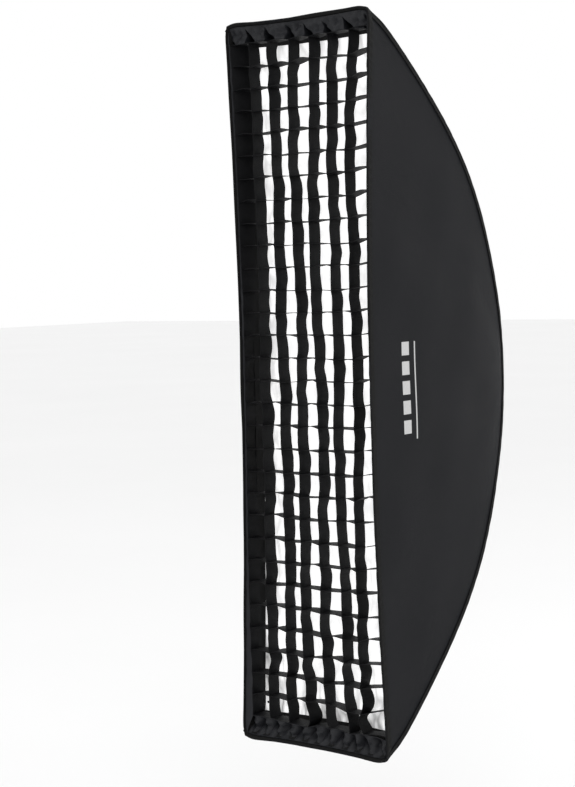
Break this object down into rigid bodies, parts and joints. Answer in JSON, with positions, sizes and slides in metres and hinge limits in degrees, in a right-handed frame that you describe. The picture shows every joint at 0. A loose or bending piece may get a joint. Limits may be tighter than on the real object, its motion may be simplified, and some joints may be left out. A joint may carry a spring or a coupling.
{
  "type": "strip softbox",
  "caption": "Tall narrow softbox with a curved fabric shell on bent rods, a white diffuser, a fabric honeycomb grid and a rotating bayonet speed ring.",
  "frame": {"origin": "centre of the bayonet insert's rear mating face, on the axis of its aperture", "axes": "+Y along the aperture's axis towards the lamp, +Z along the softbox's long side, light leaves towards -Y"},
  "size_m": [0.3064, 0.498, 1.2048],
  "materials": {
    "ring_metal": "satin black",
    "bare_metal": "brushed",
    "screw_steel": "zinc plated",
    "rod_steel": "spring steel",
    "black_plastic": "moulded",
    "black_nylon": "coated woven nylon",
    "black_webbing": "woven tape",
    "silver_lining": "metallised cloth",
    "hook_and_loop": "napped",
    "white_cloth": "translucent nylon",
    "grid_nylon": "woven nylon"
  },
  "bodies": {
    "lamp_mount": {"bayonet_insert": "bare_metal", "retaining_ring": "bare_metal", "retaining_screws": "screw_steel"},
    "softbox": {"speed_ring": "ring_metal", "rod_top_right": "rod_steel", "rod_top_left": "rod_steel", "rod_bottom_right": "rod_steel", "rod_bottom_left": "rod_steel", "rod_ferrules": "bare_metal", "rod_tip_caps": "black_plastic", "corner_pockets": "black_webbing", "panel_right": "black_nylon", "panel_left": "black_nylon", "panel_top": "black_nylon", "panel_bottom": "black_nylon", "lining_right": "silver_lining", "lining_left": "silver_lining", "lining_top": "silver_lining", "lining_bottom": "silver_lining", "seam_binding_right": "black_webbing", "seam_binding_left": "black_webbing", "ring_collar": "black_nylon", "front_hem": "black_webbing", "grid_loop_tape": "hook_and_loop", "diffuser_loop_tape": "hook_and_loop"},
    "lock_screw": {"lock_stud": "screw_steel", "lock_knob": "black_plastic"},
    "diffuser": {"diffuser_cloth": "white_cloth", "diffuser_hook_tape": "hook_and_loop"},
    "grid": {"grid_long_strips": "grid_nylon", "grid_cross_strips": "grid_nylon", "grid_skirt": "grid_nylon", "grid_hook_tape": "hook_and_loop"}
  },
  "joints": [
    {"name": "ring_turn", "type": "hinge", "parent": "lamp_mount", "child": "softbox", "pos_m": [0, 0, 0], "axis": [0, 1, 0], "continuous": true},
    {"name": "lock_screw_turn", "type": "hinge", "parent": "softbox", "child": "lock_screw", "pos_m": [0, -0.01, -0.08], "axis": [0, 0, -1], "range_deg": [0, 720]},
    {"name": "diffuser_pull_off", "type": "slide", "parent": "softbox", "child": "diffuser", "axis": [0, -1, 0], "range_m": [0, 0.12]},
    {"name": "grid_pull_off", "type": "slide", "parent": "diffuser", "child": "grid", "axis": [0, -1, 0], "range_m": [0, 0.12]}
  ]
}
